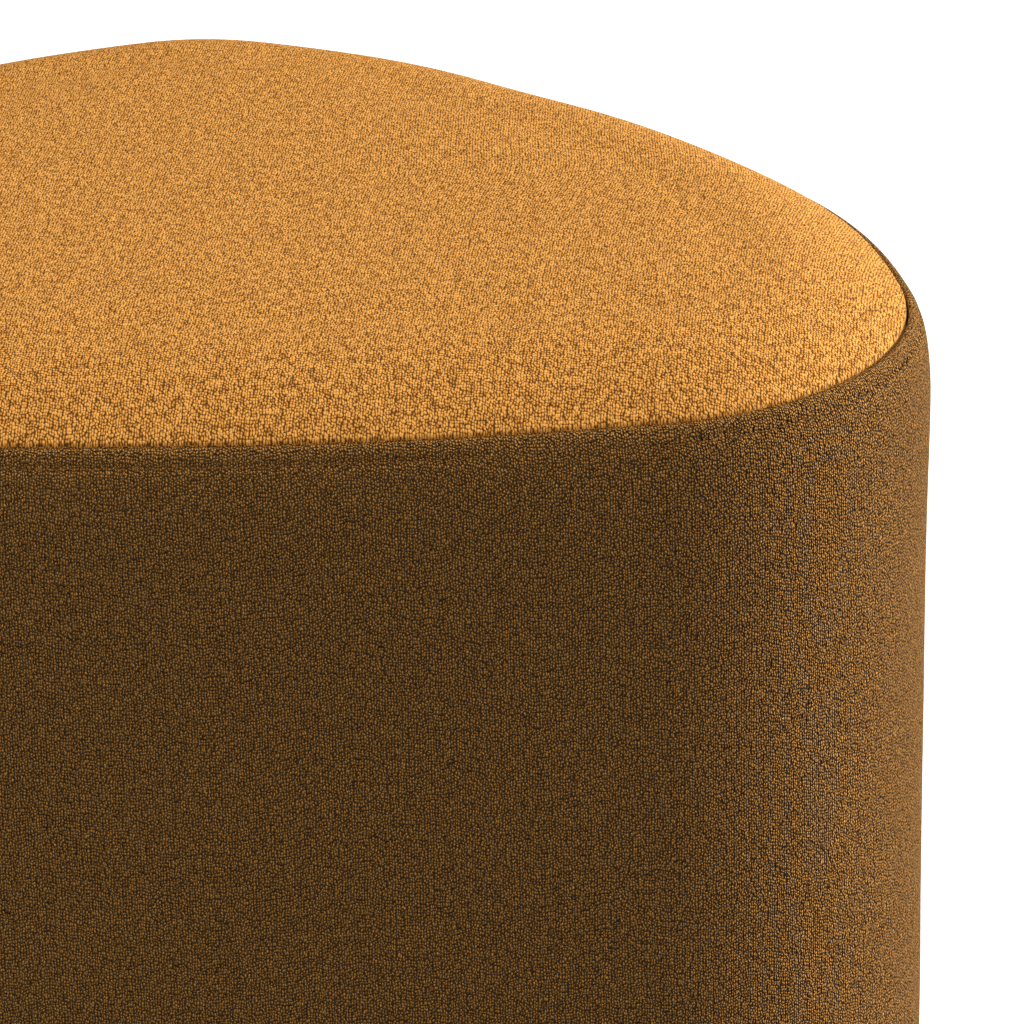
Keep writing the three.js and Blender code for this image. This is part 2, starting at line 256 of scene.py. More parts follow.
# ---- Looped cloth: columns of loops with gaps between in painted shade, on the piece's own cloth map in metres ----
boucle = {
    "columnPitch": 0.00102,
    "rowPitch": 0.00130,
    "wander": 0.0014,  # how far loops stray from their columns
    "wanderSize": 0.0028,
    "wanderAlong": 1.6,
    "slip": 9.0,  # rows by which one column is shifted against the next
    "jitterAcross": 0.50,
    "jitterAlong": 0.34,
    "lean": 0.12,  # each loop leans over a little
    "across": 1.15,
    "along": 0.90,
    "chanceHeight": 0.42,
    "clumpHeight": 1.1,
    "fibreHeight": 0.34,
    "fibreScale": 2.4,
    "level": 0.70,
    "clumpSize": 0.0034,
    "shade": (0.19, 0.068, 0.0095),
    "body": (0.55, 0.212, 0.030),
    "tip": (0.86, 0.40, 0.085),
    "sheen": 0.24,
    "sheenTint": (1.0, 0.55, 0.17, 1),
}
sideWeave = {
    "relief": 0.0015,  # height of the loops
    # painted shade in the gaps between loops, darker on the wall than on the top, as the top light only
    # grazes the wall
    "gap": (0.012, 0.0030, 0.0006),
    "narrow": -5.4,  # fall from a loop's crest to its rim
    "crest": 0.91,
    "turn": 0.0,
}
topWeave = {
    "relief": 0.00030,  # height of the loops
    # painted shade in the gaps between loops, lighter than the wall's, as the top light reaches down into
    # them
    "gap": (0.12, 0.045, 0.007),
    "narrow": -2.4,  # fall from a loop's crest to its rim
    "crest": 0.78,
    "turn": 0.07,
}


def shakenPlace(tree, value, chance, amount):  # place across a cell, its middle moved by chance
    middle = calc(tree, "SUBTRACT", calc(tree, "FRACT", value), 0.5)
    return calc(tree, "ADD", middle, calc(tree, "MULTIPLY_ADD", chance, amount, -amount / 2))


def makeBoucle(name, weave):
    material, tree, surface = newMaterial(name, 0.95, 0.12)
    place = addNode(tree, "ShaderNodeUVMap", uv_map="cloth").outputs[0]
    stray = addNoise(tree, place, 1 / boucle["wanderSize"], 1.5).outputs["Color"]
    settings = {0: stray, 1: (0.5, 0.5, 0.5)}
    centred = addNode(tree, "ShaderNodeVectorMath", settings, operation="SUBTRACT")
    reach = (boucle["wander"], boucle["wander"] * boucle["wanderAlong"], 0)
    settings = {0: centred.outputs[0], 1: reach, 2: place}
    moved = addNode(tree, "ShaderNodeVectorMath", settings, operation="MULTIPLY_ADD").outputs[0]
    pitch = (1 / boucle["columnPitch"], 1 / boucle["rowPitch"], 1)
    settings = {"Vector": moved, "Rotation": (0, 0, weave["turn"])}
    turned = addNode(tree, "ShaderNodeMapping", settings).outputs[0]
    cells = addNode(tree, "ShaderNodeMapping", {"Vector": turned, "Scale": pitch}).outputs[0]
    split = addNode(tree, "ShaderNodeSeparateXYZ", {0: cells})
    column = calc(tree, "FLOOR", split.outputs[0])
    slips = addNode(tree, "ShaderNodeTexWhiteNoise", {"W": column}, noise_dimensions="1D")
    rise = calc(tree, "MULTIPLY_ADD", slips.outputs["Value"], boucle["slip"], split.outputs[1])
    row = calc(tree, "FLOOR", rise)
    grain = addNode(tree, "ShaderNodeCombineXYZ", {0: column, 1: row}).outputs[0]
    chance = addNode(tree, "ShaderNodeTexWhiteNoise", {"Vector": grain}, noise_dimensions="2D")
    chances = addNode(tree, "ShaderNodeSeparateXYZ", {0: chance.outputs["Color"]})
    across = shakenPlace(tree, split.outputs[0], chances.outputs[0], boucle["jitterAcross"])
    along = shakenPlace(tree, rise, chances.outputs[1], boucle["jitterAlong"])
    across = calc(tree, "ADD", across, calc(tree, "MULTIPLY", along, boucle["lean"]))
    sideways = calc(tree, "MULTIPLY", calc(tree, "MULTIPLY", across, across), boucle["across"])
    lengthways = calc(tree, "MULTIPLY", along, along)
    spread = calc(tree, "MULTIPLY_ADD", lengthways, boucle["along"], sideways)
    crest = calc(tree, "MULTIPLY_ADD", spread, weave["narrow"], weave["crest"])
    clumps = addNoise(tree, place, 1 / boucle["clumpSize"], 2).outputs["Fac"]
    fibres = addNoise(tree, cells, boucle["fibreScale"], 2).outputs["Fac"]
    height = calc(tree, "MULTIPLY_ADD", chances.outputs[2], boucle["chanceHeight"], crest)
    height = calc(tree, "MULTIPLY_ADD", clumps, boucle["clumpHeight"], height)
    height = calc(tree, "MULTIPLY_ADD", fibres, boucle["fibreHeight"], height)
    height = calc(tree, "SUBTRACT", height, boucle["level"])
    # Colour follows the loops' height: the gap and shade stops are painted shade, darker down between the
    # loops, standing in for self-shadow that the bump leaves out.
    stops = [(0.05, weave["gap"]), (0.32, boucle["shade"])]
    stops += [(0.60, boucle["body"]), (1.0, boucle["tip"])]
    color = colorRamp(tree, height, stops)
    tree.links.new(color, surface.inputs["Base Color"])
    addBump(tree, surface, height, weave["relief"])
    surface.inputs["Sheen Weight"].default_value = boucle["sheen"]
    surface.inputs["Sheen Roughness"].default_value = 0.4
    surface.inputs["Sheen Tint"].default_value = boucle["sheenTint"]
    return material


threadLook = {"dark": (0.10, 0.04, 0.008), "light": (0.30, 0.13, 0.03), "twist": 900}


def makeThread():
    material, tree, surface = newMaterial("thread", 0.6, 0.3)
    settings = {"Vector": objectPlace(tree), "Scale": threadLook["twist"], "Distortion": 2}
    twist = addNode(tree, "ShaderNodeTexWave", settings)
    stops = [(0.2, threadLook["dark"]), (0.8, threadLook["light"])]
    color = colorRamp(tree, twist.outputs["Fac"], stops)
    tree.links.new(color, surface.inputs["Base Color"])
    return material


plywoodLook = {
    "layer": 0.003,
    "lightFace": (0.72, 0.55, 0.35),
    "darkFace": (0.52, 0.36, 0.20),
    "lightLayer": (0.66, 0.49, 0.30),
    "darkLayer": (0.33, 0.20, 0.10),
    "grain": (6, 60, 60),
    "fineGrain": (80, 900, 900),
    "relief": 0.0002,
}


def makePlywood():
    material, tree, surface = newMaterial("birch_ply", 0.62, 0.35)
    place = addNode(tree, "ShaderNodeTexCoord").outputs["Object"]
    wavy = addNoise(tree, objectPlace(tree, plywoodLook["grain"]), 1, 4)
    stops = [(0.3, plywoodLook["darkFace"]), (0.7, plywoodLook["lightFace"])]
    face = colorRamp(tree, wavy.outputs["Fac"], stops)
    height = addNode(tree, "ShaderNodeSeparateXYZ", {0: place}).outputs[2]
    layer = calc(tree, "FRACT", calc(tree, "MULTIPLY", height, 1 / plywoodLook["layer"]))
    stops = [(0.46, plywoodLook["lightLayer"]), (0.54, plywoodLook["darkLayer"])]
    layers = colorRamp(tree, layer, stops)
    normal = addNode(tree, "ShaderNodeTexCoord").outputs["Normal"]
    upright = calc(tree, "ABSOLUTE", addNode(tree, "ShaderNodeSeparateXYZ", {0: normal}).outputs[2])
    onFace = calc(tree, "GREATER_THAN", upright, 0.5)
    mixed = addNode(tree, "ShaderNodeMix", {0: onFace, 6: layers, 7: face}, data_type="RGBA")
    tree.links.new(mixed.outputs[2], surface.inputs["Base Color"])
    fine = addNoise(tree, objectPlace(tree, plywoodLook["fineGrain"]), 1, 2)
    addBump(tree, surface, fine.outputs["Fac"], plywoodLook["relief"])
    return material


foamLook = {"dark": (0.62, 0.54, 0.36), "light": (0.82, 0.76, 0.60), "cells": 900, "relief": 0.0006}


def makeFoam():
    material, tree, surface = newMaterial("cream_foam", 0.95, 0.1)
    place = objectPlace(tree)
    settings = {"Vector": place, "Scale": foamLook["cells"]}
    cells = addNode(tree, "ShaderNodeTexVoronoi", settings).outputs["Distance"]
    tone = addNoise(tree, place, 40, 3).outputs["Fac"]
    mixed = calc(tree, "MULTIPLY_ADD", tone, 0.4, cells)
    color = colorRamp(tree, mixed, [(0.3, foamLook["dark"]), (0.8, foamLook["light"])])
    tree.links.new(color, surface.inputs["Base Color"])
    addBump(tree, surface, cells, foamLook["relief"])
    return material


waddingLook = {"dark": (0.66, 0.65, 0.62), "light": (0.90, 0.89, 0.86), "fibres": 320, "relief": 0.0012}


def makeWadding():
    material, tree, surface = newMaterial("wadding_fibre", 1.0, 0.05)
    place = objectPlace(tree, (1, 3, 1))
    fibres = addNoise(tree, place, waddingLook["fibres"], 6, 0.7).outputs["Fac"]
    color = colorRamp(tree, fibres, [(0.3, waddingLook["dark"]), (0.7, waddingLook["light"])])
    tree.links.new(color, surface.inputs["Base Color"])
    addBump(tree, surface, fibres, waddingLook["relief"])
    return material


# Plain weave on a cloth map: threads over and under at a pitch, with slubs.
liningWeave = {"dark": (0.045, 0.034, 0.025), "light": (0.16, 0.125, 0.095), "pitch": 0.0009}
ribbonWeave = {"dark": (0.16, 0.07, 0.014), "light": (0.46, 0.21, 0.05), "pitch": 0.0006}


def makeWoven(name, weave):
    material, tree, surface = newMaterial(name, 0.85, 0.15)
    place = addNode(tree, "ShaderNodeUVMap", uv_map="cloth").outputs[0]
    settings = {"Vector": place, "Scale": (math.pi / weave["pitch"],) * 3}
    cells = addNode(tree, "ShaderNodeMapping", settings).outputs[0]
    split = addNode(tree, "ShaderNodeSeparateXYZ", {0: cells})
    warp, weft = calc(tree, "SINE", split.outputs[0]), calc(tree, "SINE", split.outputs[1])
    woven = calc(tree, "MULTIPLY", warp, weft)
    slubs = addNoise(tree, place, 260, 3).outputs["Fac"]
    height = calc(tree, "MULTIPLY_ADD", woven, 0.35, slubs)
    color = colorRamp(tree, height, [(0.25, weave["dark"]), (0.8, weave["light"])])
    tree.links.new(color, surface.inputs["Base Color"])
    addBump(tree, surface, height, 0.0003)
    surface.inputs["Sheen Weight"].default_value = 0.1
    return material


# Bonded cloth with a field of small pressed points.
bondedLook = {"dark": (0.006, 0.006, 0.006), "light": (0.030, 0.029, 0.028), "points": 620}


def makeBonded():
    material, tree, surface = newMaterial("bonded_cloth", 0.8, 0.2)
    place = objectPlace(tree, (1, 1, 0))
    settings = {"Vector": place, "Rotation": (0, 0, 0.785)}
    turned = addNode(tree, "ShaderNodeMapping", settings).outputs[0]
    settings = {"Vector": turned, "Scale": bondedLook["points"], "Randomness": 0.0}
    voronoi = addNode(tree, "ShaderNodeTexVoronoi", settings, voronoi_dimensions="2D")
    points = voronoi.outputs["Distance"]
    fibres = addNoise(tree, place, 900, 4, 0.7).outputs["Fac"]
    height = calc(tree, "MULTIPLY_ADD", fibres, 0.6, calc(tree, "MINIMUM", points, 0.4))
    color = colorRamp(tree, height, [(0.3, bondedLook["dark"]), (0.8, bondedLook["light"])])
    tree.links.new(color, surface.inputs["Base Color"])
    addBump(tree, surface, height, 0.0002)
    return material


plasticLook = {"dark": (0.010, 0.010, 0.010), "light": (0.022, 0.022, 0.022), "grain": 1500}


def makePlastic():
    material, tree, surface = newMaterial("black_nylon", 0.5, 0.4)
    place = objectPlace(tree)
    grain = addNoise(tree, place, plasticLook["grain"], 2).outputs["Fac"]
    cloudy = addNoise(tree, place, 90, 3).outputs["Fac"]
    color = colorRamp(tree, cloudy, [(0.3, plasticLook["dark"]), (0.7, plasticLook["light"])])
    tree.links.new(color, surface.inputs["Base Color"])
    tree.links.new(calc(tree, "MULTIPLY_ADD", grain, 0.2, 0.38), surface.inputs["Roughness"])
    addBump(tree, surface, grain, 0.00008)
    return material


steelLook = {"dark": (0.42, 0.42, 0.40), "light": (0.62, 0.61, 0.57), "clouds": 700}


def makeSteel():
    material, tree, surface = newMaterial("zinc_plate", 0.35, 0.5)
    surface.inputs["Metallic"].default_value = 1.0
    cloudy = addNoise(tree, objectPlace(tree), steelLook["clouds"], 3).outputs["Fac"]
    color = colorRamp(tree, cloudy, [(0.3, steelLook["dark"]), (0.7, steelLook["light"])])
    tree.links.new(color, surface.inputs["Base Color"])
    tree.links.new(calc(tree, "MULTIPLY_ADD", cloudy, 0.3, 0.22), surface.inputs["Roughness"])
    return material


# ---- How full the padding is round the plan ----
padding = {
    "cornerFull": 0.0052,  # the shoulder stands out round the two front corners
    "cornerAt": 0.034,
    "cornerSpread": 0.229,
    "flankSlack": 0.0039,  # and draws in along the flanks
    "flankAt": 0.748,
    "flankSpread": 0.22,
    "reachDown": 0.073,  # how far below the parting line this dies away
    "unevenness": 0.0005,
    "unevenSize": 0.055,
    "evenFoot": 0.05,  # the lowest part stays even
    "middle": (0.02, 0.16),  # nothing moves at the middle, all of it does at the rim
}


def easeBetween(low, high, value):
    share = min(max((value - low) / (high - low), 0), 1)
    return share * share * (3 - 2 * share)


def fillOut(bm):
    for vert in bm.verts:
        out = Vector((vert.co.x, vert.co.y, 0))
        if out.length < padding["middle"][0] / 2:
            continue
        angle = math.atan2(out.y, abs(out.x))
        corner = math.exp(-(((angle - padding["cornerAt"]) / padding["cornerSpread"]) ** 2))
        flank = math.exp(-(((angle - padding["flankAt"]) / padding["flankSpread"]) ** 2))
        amount = padding["cornerFull"] * corner - padding["flankSlack"] * flank
        amount *= easeBetween(partingHeight - padding["reachDown"], partingHeight, vert.co.z)
        amount *= easeBetween(*padding["middle"], out.length)
        uneven = noise.noise(vert.co / padding["unevenSize"]) * padding["unevenness"]
        below = easeBetween(sideLow.z, sideLow.z + padding["evenFoot"], vert.co.z)
        vert.co += out.normalized() * (amount + uneven * below)


# ---- Side cover ----
sideShape = {
    "step": 0.0021,
    "shoulderRise": 0.034,
    "shoulderDepth": 0.0078,
    "lip": 0.0086,  # the cover's inner face, towards the lid
    "swell": 0.0012,
    "swellFade": 0.130,
    "lipDrop": 0.0014,  # the lip sits lower than the lid's edge, and lower still along the flanks
    "flankDrop": 0.0024,
    "dropFrom": (0.1, 0.6),  # angles between which the flank begins
    "dropReach": 0.016,
    "fineReach": 0.050,  # the rows stand closer in this band below the parting line
    "fineRows": (
        0, 4, 8, 12, 16, 20, 24, 28, 31, 34, 36, 38, 39.5, 40.5, 41.3, 42, 42.6, 43.2,
        43.9, 44.8, 45.8, 46.8, 47.7, 48.5, 49.1, 49.6, 49.9, 50,
    ),  # millimetres up from its foot
    "wallRows": 68,
    "bottomFold": ((0.014, 0), (0.004, 0), (0.0012, 0.0006), (0.0002, 0.0022)),
    "lipRows": (0.003, 0.007, 0.011, 0.015),
    "backRows": (0.006, 0.015, 0.035, 0.05, 0.09, 0.13, 0.18),
    "flangeFold": ((0, 0.002), (0.0007, 0.0006), (0.002, 0), (0.010, 0), (0.022, 0)),
    "turnUnder": 0.028,
    "turnIn": 0.036,
    "stitchDrop": 0.0068,  # topstitch below the parting line
    "stitchPitch": 0.0042,
    "pitDepth": 0.0012,
    "pitWidth": 0.0018,
    "pitReach": 0.0020,
    "pitAbove": 0.0008,
    "grooveDepth": 0.00015,
    "grooveReach": 0.0013,
    "seamDepth": 0.0012,  # the upright seam at the back
    "seamReach": 0.0016,
    "seamTop": 0.002,
}


def swellAt(height):
    widest = partingHeight - sideShape["shoulderRise"]
    return sideShape["swell"] * (1 - easeBetween(widest - sideShape["swellFade"], widest, height))


def shoulderInset(height):
    rise = sideShape["shoulderRise"]
    share = min(max((height - partingHeight + rise) / rise, 0), 1)
    return sideShape["shoulderDepth"] * (1 - math.sqrt(max(1 - share * share, 0)))


def lipDropAt(height, angle):
    drop = sideShape["lipDrop"] + sideShape["flankDrop"] * easeBetween(*sideShape["dropFrom"], angle)
    return drop * easeBetween(partingHeight - sideShape["dropReach"], partingHeight, height)


def settleLip(bm):
    for vert in bm.verts:
        vert.co.z -= lipDropAt(vert.co.z, math.atan2(vert.co.y, abs(vert.co.x)))


def wallSection(bottom, under=0.0):
    fineLow = partingHeight - sideShape["fineReach"]
    count = sideShape["wallRows"]
    heights = [bottom + (fineLow - bottom) * step / count for step in range(count)]
    heights += [fineLow + rise * 0.001 for rise in sideShape["fineRows"]]
    return [(swellAt(height) + shoulderInset(height) + under, height) for height in heights]


def makeSideCover(cloth):
    bottom = sideLow.z
    foot = sideShape["swell"]
    lip = sideShape["lip"]
    end = lip + sideShape["turnIn"]
    under = [(foot + sideShape["turnUnder"], bottom)]
    under += [(foot + inset, bottom + rise) for inset, rise in sideShape["bottomFold"]]
    wall = wallSection(bottom + 0.005)
    inside = [(lip - 0.0003, partingHeight - 0.0002), (lip, partingHeight - 0.0008)]
    inside += [(lip, partingHeight - drop) for drop in sideShape["lipRows"]]
    inside += [(lip + inset, flangeTop + rise) for inset, rise in sideShape["flangeFold"]]
    inside.append((end, flangeTop))
    section = under + wall + inside + reverseSection(end)
    bm = walkSection(section, sideShape["step"], closed=True)
    shown = under + wall + inside[:2]
    reach = sum(math.dist(*pair) for pair in zip(shown, shown[1:]))
    fillOut(bm)
    pressSeams(bm, reach)
    settleLip(bm)
    piece = finishPiece("side_cover_cloth", bm, "base", cloth, ["side_cover"])


def reverseSection(end):  # the cloth's other face, from the flange back to the bottom
    bottom = sideLow.z
    foot = sideShape["swell"]
    innerLip = sideShape["lip"] - clothThickness
    rows = [(end, flangeTop - clothThickness), (innerLip, flangeTop - clothThickness)]
    rows.append((innerLip, partingHeight - 0.004))
    for drop in sideShape["backRows"]:
        height = partingHeight - drop
        rows.append((swellAt(height) + shoulderInset(height) + clothThickness, height))
    rows += [(foot + clothThickness, bottom + 0.003), (foot + 0.004, bottom + clothThickness)]
    return rows + [(foot + sideShape["turnUnder"], bottom + clothThickness)]


def pressSeams(bm, reach):  # sinks the stitched groove, its pits and the upright seam
    upLayer = bm.verts.layers.float["up"]
    alongLayer = bm.verts.layers.float["along"]
    row = partingHeight - sideShape["stitchDrop"]
    pitRow = row + sideShape["pitAbove"]
    pitch = sideShape["stitchPitch"]
    for vert in bm.verts:
        if not 0 < vert[upLayer] <= reach:
            continue
        out = Vector((vert.co.x, vert.co.y, 0)).normalized()
        sunk = sideShape["grooveDepth"] * bell(vert.co.z - row, sideShape["grooveReach"])
        fromStitch = abs((vert[alongLayer] / pitch + 0.5) % 1 - 0.5) * pitch
        if fromStitch < sideShape["pitWidth"] / 2:
            sunk += sideShape["pitDepth"] * bell(vert.co.z - pitRow, sideShape["pitReach"])
        if vert.co.z < partingHeight - sideShape["seamTop"]:
            fromSeam = min(vert[alongLayer], outlineLength - vert[alongLayer])
            sunk += sideShape["seamDepth"] * bell(fromSeam, sideShape["seamReach"])
        vert.co -= out * sunk


def bell(distance, reach):
    return math.exp(-((distance / reach) ** 2))


stitchShape = {
    "radius": 0.00028,
    "length": 0.0030,
    "sides": 6,
    "sunk": 0.0006,
}


def makeTopstitch(thread):
    count = round(outlineLength / sideShape["stitchPitch"])
    row = partingHeight - sideShape["stitchDrop"]
    inset = shoulderInset(row) + stitchShape["sunk"]
    radius = stitchShape["radius"]
    settings = {"segments": stitchShape["sides"], "radius1": radius, "radius2": radius}
    settings.update({"depth": stitchShape["length"], "cap_ends": True})
    level = Matrix.Rotation(math.pi / 2, 4, "X")
    bm = bmesh.new()
    for place in range(count):
        spot, angle = spotAlong((place + 0.5) * outlineLength / count, inset, row)
        lay = Matrix.Translation(spot) @ Matrix.Rotation(angle, 4, "Z") @ level
        bmesh.ops.create_cone(bm, matrix=lay, **settings)
    fillOut(bm)
    settleLip(bm)
    finishPiece("topstitch", bm, "base", thread)


# ---- Lid cover ----
lidShape = {
    "step": 0.0042,
    "crownRun": 0.056,
    "crownRows": (
        0.003, 0.0055, 0.0085, 0.012, 0.016, 0.020, 0.0245, 0.029, 0.034, 0.039, 0.044, 0.050, 0.056,
    ),
    "edgeRows": ((0, -0.0045), (0, -0.0008), (0.0003, 0), (0.0012, 0.0007)),  # from the parting line
    "underTurn": 0.030,
    "heldUpTo": 0.002,  # above the parting line
    "freeFrom": 0.014,
}


def crownHeight(inset, depth=0.0):
    share = min(max(inset / lidShape["crownRun"], 0), 1)
    return partingHeight - depth + (seatHeight - partingHeight) * (1 - (1 - share) ** 2)


def crownSection():
    rows = [(lidInset, lidLow.z + 0.003), (lidInset, lidLow.z + 0.008)]
    rows += [(lidInset + inset, partingHeight + rise) for inset, rise in lidShape["edgeRows"]]
    rows += [(lidInset + inset, crownHeight(inset)) for inset in lidShape["crownRows"]]
    return rows + [(lidInset + 0.062, seatHeight), (lidInset + 0.068, seatHeight)]


def fillMiddle(bm, low, high):  # a grid of faces across the open loop between two heights
    rim = [edge for edge in bm.edges if edge.is_boundary and low < edge.verts[0].co.z < high]
    ordered = sorted(rim, key=lambda edge: angleOf((edge.verts[0].co + edge.verts[1].co) / 2))
    half = len(ordered) // 2
    side = half // 2
    bmesh.ops.grid_fill(bm, edges=ordered[:side] + ordered[half : half + side])


puff = {
    "quality": 5,
    "mass": 0.3,
    "stiffness": 18,
    "bending": 1.5,
    "pressure": 4,
    "frames": 20,
    "cap": 0.0035,  # how far the pressed-out cloth may rise
}


def puffCloth(piece, held):  # presses the free cloth out with air, and keeps only its rise
    group = piece.vertex_groups.new(name="held")
    for index, weight in held:
        group.add([index], weight, "REPLACE")
    start = [vert.co.copy() for vert in piece.data.vertices]
    cloth = piece.modifiers.new("puff", "CLOTH")
    cloth.settings.quality = puff["quality"]
    cloth.settings.mass = puff["mass"]
    cloth.settings.tension_stiffness = puff["stiffness"]
    cloth.settings.compression_stiffness = puff["stiffness"]
    cloth.settings.bending_stiffness = puff["bending"]
    cloth.settings.vertex_group_mass = "held"
    cloth.settings.use_pressure = True
    cloth.settings.uniform_pressure_force = puff["pressure"]
    cloth.settings.effector_weights.gravity = 0
    cloth.collision_settings.use_collision = False
    scene = bpy.context.scene
    for number in range(1, puff["frames"] + 1):
        scene.frame_set(number)
    evaluated = piece.evaluated_get(bpy.context.evaluated_depsgraph_get())
    moved = [vert.co.copy() for vert in evaluated.data.vertices]
    piece.modifiers.clear()
    piece.vertex_groups.clear()
    for vert, origin, target in zip(piece.data.vertices, start, moved):
        rise = max(target.z - origin.z, 0)
        vert.co.z = origin.z + puff["cap"] * (1 - math.exp(-rise / puff["cap"]))
    scene.frame_set(1)


def makeLidCover(cloth):
    end = lidInset + lidShape["underTurn"]
    bottom = lidLow.z
    under = [(end, bottom + clothThickness), (end, bottom + 0.0002), (end - 0.0003, bottom)]
    under += [(lidInset + 0.018, bottom), (lidInset + 0.006, bottom), (lidInset + 0.002, bottom)]
    under.append((lidInset + 0.0006, bottom + 0.0006))
    bm = walkSection(under + crownSection(), lidShape["step"])
    fillMiddle(bm, seatHeight - 0.002, seatHeight + 0.002)
    fillMiddle(bm, bottom, bottom + 0.004)
    bmesh.ops.recalc_face_normals(bm, faces=bm.faces)
    mapFlat(bm)
    fillOut(bm)
    bm.verts.ensure_lookup_table()
    band = (partingHeight + lidShape["heldUpTo"], partingHeight + lidShape["freeFrom"])
    weights = [1 - easeBetween(*band, vert.co.z) for vert in bm.verts]
    piece = finishPiece("lid_cover_cloth", bm, "lid", cloth, ["lid_cover"])
    puffCloth(piece, [(index, weight) for index, weight in enumerate(weights) if weight > 0])
    fine = piece.modifiers.new("fine", "SUBSURF")
    fine.levels = fine.render_levels = 1


# ---- Padding under the covers ----
padShape = {
    "step": 0.008,
    "sideInner": 0.0132,  # inset of the foam's inner face
    "sideTop": 0.0035,  # below the parting line
    "wallTop": 0.004,
    "round": 0.001,
    "crownShares": (0.03, 0.08, 0.16, 0.26, 0.38, 0.52, 0.7, 0.88, 1.0),
}


def makeSidePad(foamCloth):
    skin = clothThickness + skinGap
    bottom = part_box("side_foam")[0].z
    wallTop = partingHeight - padShape["wallTop"]
    wall = [row for row in wallSection(bottom, skin)[::4] if row[1] < wallTop]
    inner = padShape["sideInner"] - skinGap
    lip = sideShape["lip"] - skin
    section = wall + [(lip, partingHeight - padShape["sideTop"]), (lip, ringTop)]
    section += [(inner, ringTop), (inner, bottom)]
    bm = walkSection(section, padShape["step"], closed=True)
    fillOut(bm)
    settleLip(bm)
    piece = finishPiece("side_foam_pad", bm, "base", foamCloth, ["side_foam"])


def makeLidPad(node, name, material):
    low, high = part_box(node)
    depth = seatHeight - high.z
    edge = (plan["depth"] - (high.y - low.y)) / 2
    corner = padShape["round"]
    section = [(edge + corner, low.z), (edge, low.z + corner), (edge, partingHeight - depth - corner)]
    for share in padShape["crownShares"]:
        inset = lidShape["crownRun"] * share
        section.append((edge + inset, crownHeight(inset, depth)))
    bm = walkSection(section, padShape["step"])
    closeLoops(bm)
    fillOut(bm)
    piece = finishPiece(name, bm, "lid", material, [node])


# ---- Boards and linings ----
boardShape = {
    "step": 0.006,
    "liningEdge": 0.0008,
    "keyEdge": 0.0015,
    "clothEdge": 0.0003,
    "liningStep": 0.005,
    "liningThickness": 0.003,
    "liningTop": 0.0006,
}


def slabSection(inset, low, high, edge):  # an upright edge with both its corners rounded off
    cut = edge * 0.3
    rows = [(inset + edge, low), (inset + cut, low + cut), (inset, low + edge)]
    return rows + [(inset, high - edge), (inset + cut, high - cut), (inset + edge, high)]


def makeSlab(node, name, body, material, edge):
    low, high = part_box(node)
    inset = (plan["depth"] - (high.y - low.y)) / 2
    bm = walkSection(slabSection(inset, low.z, high.z, edge), boardShape["step"])
    closeLoops(bm)
    mapFlat(bm)
    return finishPiece(name, bm, body, material, [node], smooth=False)


def makeLining(woven):
    low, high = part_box("lining_wall")
    outer = (plan["depth"] - (high.y - low.y)) / 2
    inner = outer + boardShape["liningThickness"]
    top = boardShape["liningTop"]
    section = [(inner, low.z), (inner, high.z - top), (inner - top, high.z)]
    section += [(outer, high.z), (outer, low.z)]
    bm = walkSection(section, boardShape["liningStep"], closed=True)
    finishPiece("lining_wall_cloth", bm, "base", woven, ["lining_wall"], smooth=False)
    edge = boardShape["liningEdge"]
    makeSlab("lining_floor", "lining_floor_cloth", "base", woven, edge)


def makeStretchedCloth(node, name, body, bonded):  # held flat by its staples
    sheet = makeSlab(node, name, body, bonded, boardShape["clothEdge"])


# ---- Turned pieces ----
def turnedPiece(bm, profile, spot, steps):  # spins a (radius, height) profile round the spot
    verts = [bm.verts.new((spot.x + radius, spot.y, spot.z + height)) for radius, height in profile]
    edges = [bm.edges.new(pair) for pair in zip(verts, verts[1:])]
    settings = {"cent": spot, "axis": (0, 0, 1), "angle": 2 * math.pi, "steps": steps, "use_merge": True}
    bmesh.ops.spin(bm, geom=verts + edges, **settings)


def middleOf(node):
    low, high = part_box(node)
    return Vector(((low.x + high.x) / 2, (low.y + high.y) / 2, low.z))


cornerNames = ["cornerRight", "flankRight", "back", "flankLeft", "cornerLeft"]


screwShape = {
    "recess": ((0.0, 0.0013), (0.0011, 0.0011), (0.0014, 0.0)),
    "rim": ((0.0037, 0.0), (0.0040, 0.0003), (0.0040, 0.0006)),
    "neck": (0.0021, 0.0024),
    "shankRadius": 0.0020,
    "point": 0.003,
    "keyLength": 0.016,
    "footLength": 0.022,
    "steps": 20,
}


def makeScrews(name, nodes, length, body, steel):
    shank = [screwShape["neck"], (screwShape["shankRadius"], length - screwShape["point"]), (0.0, length)]
    profile = [*screwShape["recess"], *screwShape["rim"], *shank]
    bm = bmesh.new()
    for node in nodes:
        turnedPiece(bm, profile, middleOf(node), screwShape["steps"])
    bmesh.ops.remove_doubles(bm, verts=bm.verts, dist=1e-6)
    bmesh.ops.recalc_face_normals(bm, faces=bm.faces)
    finishPiece(name, bm, body, steel, nodes)


footShape = {
    "bore": 0.0023,
    "recess": ((0.0023, 0.0079), (0.0043, 0.0056), (0.0043, 0.005), (0.0055, 0.005), (0.0055, 0.0003)),
    "sole": ((0.0058, 0.0), (0.0168, 0.0), (0.0180, 0.0003), (0.0190, 0.0009), (0.0197, 0.0018)),
    "side": ((0.0199, 0.0030), (0.0208, 0.0075), (0.0216, 0.0118)),
    "groove": ((0.0215, 0.0121), (0.0217, 0.0124), (0.0220, 0.0146)),
    "topRadius": 0.0217,
    "steps": 48,
}


